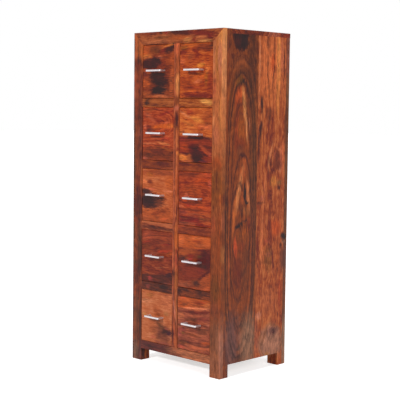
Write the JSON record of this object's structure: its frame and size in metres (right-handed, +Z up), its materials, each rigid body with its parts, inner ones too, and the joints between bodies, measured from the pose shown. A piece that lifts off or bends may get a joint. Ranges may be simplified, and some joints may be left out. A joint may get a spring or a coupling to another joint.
{
  "type": "compact-disc storage chest",
  "caption": "Tall narrow rosewood chest for compact discs: two columns of flush drawers with steel bar pulls in a mitred front frame on post legs.",
  "frame": {"origin": "on the floor, midway across the width and midway between the handles' outer faces and the back of the case", "axes": "+Z up; the drawers face -Y and slide out along -Y; +X to the right for a person facing the drawers"},
  "size_m": [0.445, 0.377, 1.2],
  "materials": {
    "frame_wood": "lacquered rosewood, semi-gloss",
    "panel_wood": "lacquered rosewood, semi-gloss, edge-glued boards",
    "drawer_front_wood": "lacquered figured rosewood, semi-gloss",
    "inner_wood": "plain sanded wood",
    "plywood": "stained plywood",
    "handle_steel": "satin",
    "screw_steel": "zinc plated"
  },
  "bodies": {
    "carcass": {"front_post_left": "frame_wood", "front_post_right": "frame_wood", "rear_post_left": "frame_wood", "rear_post_right": "frame_wood", "top_rail": "frame_wood", "bottom_rail": "frame_wood", "centre_stile": "frame_wood", "drawer_rails_left": "frame_wood", "drawer_rails_right": "frame_wood", "side_panel_left": "panel_wood", "side_panel_right": "panel_wood", "top_board": "panel_wood", "bottom_board": "inner_wood", "back_panel": "plywood", "centre_divider": "inner_wood", "drawer_runners_left": "inner_wood", "drawer_runners_right": "inner_wood", "rear_rails": "inner_wood", "mitre_splines": "inner_wood"},
    "drawer_left_1": {"drawer_front_left_1": "drawer_front_wood", "drawer_box_left_1": "inner_wood", "drawer_bottom_left_1": "plywood", "drawer_handle_left_1": "handle_steel"},
    "drawer_left_2": {"drawer_front_left_2": "drawer_front_wood", "drawer_box_left_2": "inner_wood", "drawer_bottom_left_2": "plywood", "drawer_handle_left_2": "handle_steel"},
    "drawer_left_3": {"drawer_front_left_3": "drawer_front_wood", "drawer_box_left_3": "inner_wood", "drawer_bottom_left_3": "plywood", "drawer_handle_left_3": "handle_steel"},
    "drawer_left_4": {"drawer_front_left_4": "drawer_front_wood", "drawer_box_left_4": "inner_wood", "drawer_bottom_left_4": "plywood", "drawer_handle_left_4": "handle_steel"},
    "drawer_left_5": {"drawer_front_left_5": "drawer_front_wood", "drawer_box_left_5": "inner_wood", "drawer_bottom_left_5": "plywood", "drawer_handle_left_5": "handle_steel"},
    "drawer_right_1": {"drawer_front_right_1": "drawer_front_wood", "drawer_box_right_1": "inner_wood", "drawer_bottom_right_1": "plywood", "drawer_handle_right_1": "handle_steel"},
    "drawer_right_2": {"drawer_front_right_2": "drawer_front_wood", "drawer_box_right_2": "inner_wood", "drawer_bottom_right_2": "plywood", "drawer_handle_right_2": "handle_steel"},
    "drawer_right_3": {"drawer_front_right_3": "drawer_front_wood", "drawer_box_right_3": "inner_wood", "drawer_bottom_right_3": "plywood", "drawer_handle_right_3": "handle_steel"},
    "drawer_right_4": {"drawer_front_right_4": "drawer_front_wood", "drawer_box_right_4": "inner_wood", "drawer_bottom_right_4": "plywood", "drawer_handle_right_4": "handle_steel"},
    "drawer_right_5": {"drawer_front_right_5": "drawer_front_wood", "drawer_box_right_5": "inner_wood", "drawer_bottom_right_5": "plywood", "drawer_handle_right_5": "handle_steel"}
  },
  "joints": [
    {"name": "slide_left_1", "type": "slide", "parent": "carcass", "child": "drawer_left_1", "axis": [0, -1, 0], "range_m": [0, 0.235]},
    {"name": "slide_left_2", "type": "slide", "parent": "carcass", "child": "drawer_left_2", "axis": [0, -1, 0], "range_m": [0, 0.235]},
    {"name": "slide_left_3", "type": "slide", "parent": "carcass", "child": "drawer_left_3", "axis": [0, -1, 0], "range_m": [0, 0.235]},
    {"name": "slide_left_4", "type": "slide", "parent": "carcass", "child": "drawer_left_4", "axis": [0, -1, 0], "range_m": [0, 0.235]},
    {"name": "slide_left_5", "type": "slide", "parent": "carcass", "child": "drawer_left_5", "axis": [0, -1, 0], "range_m": [0, 0.235]},
    {"name": "slide_right_1", "type": "slide", "parent": "carcass", "child": "drawer_right_1", "axis": [0, -1, 0], "range_m": [0, 0.235]},
    {"name": "slide_right_2", "type": "slide", "parent": "carcass", "child": "drawer_right_2", "axis": [0, -1, 0], "range_m": [0, 0.235]},
    {"name": "slide_right_3", "type": "slide", "parent": "carcass", "child": "drawer_right_3", "axis": [0, -1, 0], "range_m": [0, 0.235]},
    {"name": "slide_right_4", "type": "slide", "parent": "carcass", "child": "drawer_right_4", "axis": [0, -1, 0], "range_m": [0, 0.235]},
    {"name": "slide_right_5", "type": "slide", "parent": "carcass", "child": "drawer_right_5", "axis": [0, -1, 0], "range_m": [0, 0.235]}
  ]
}
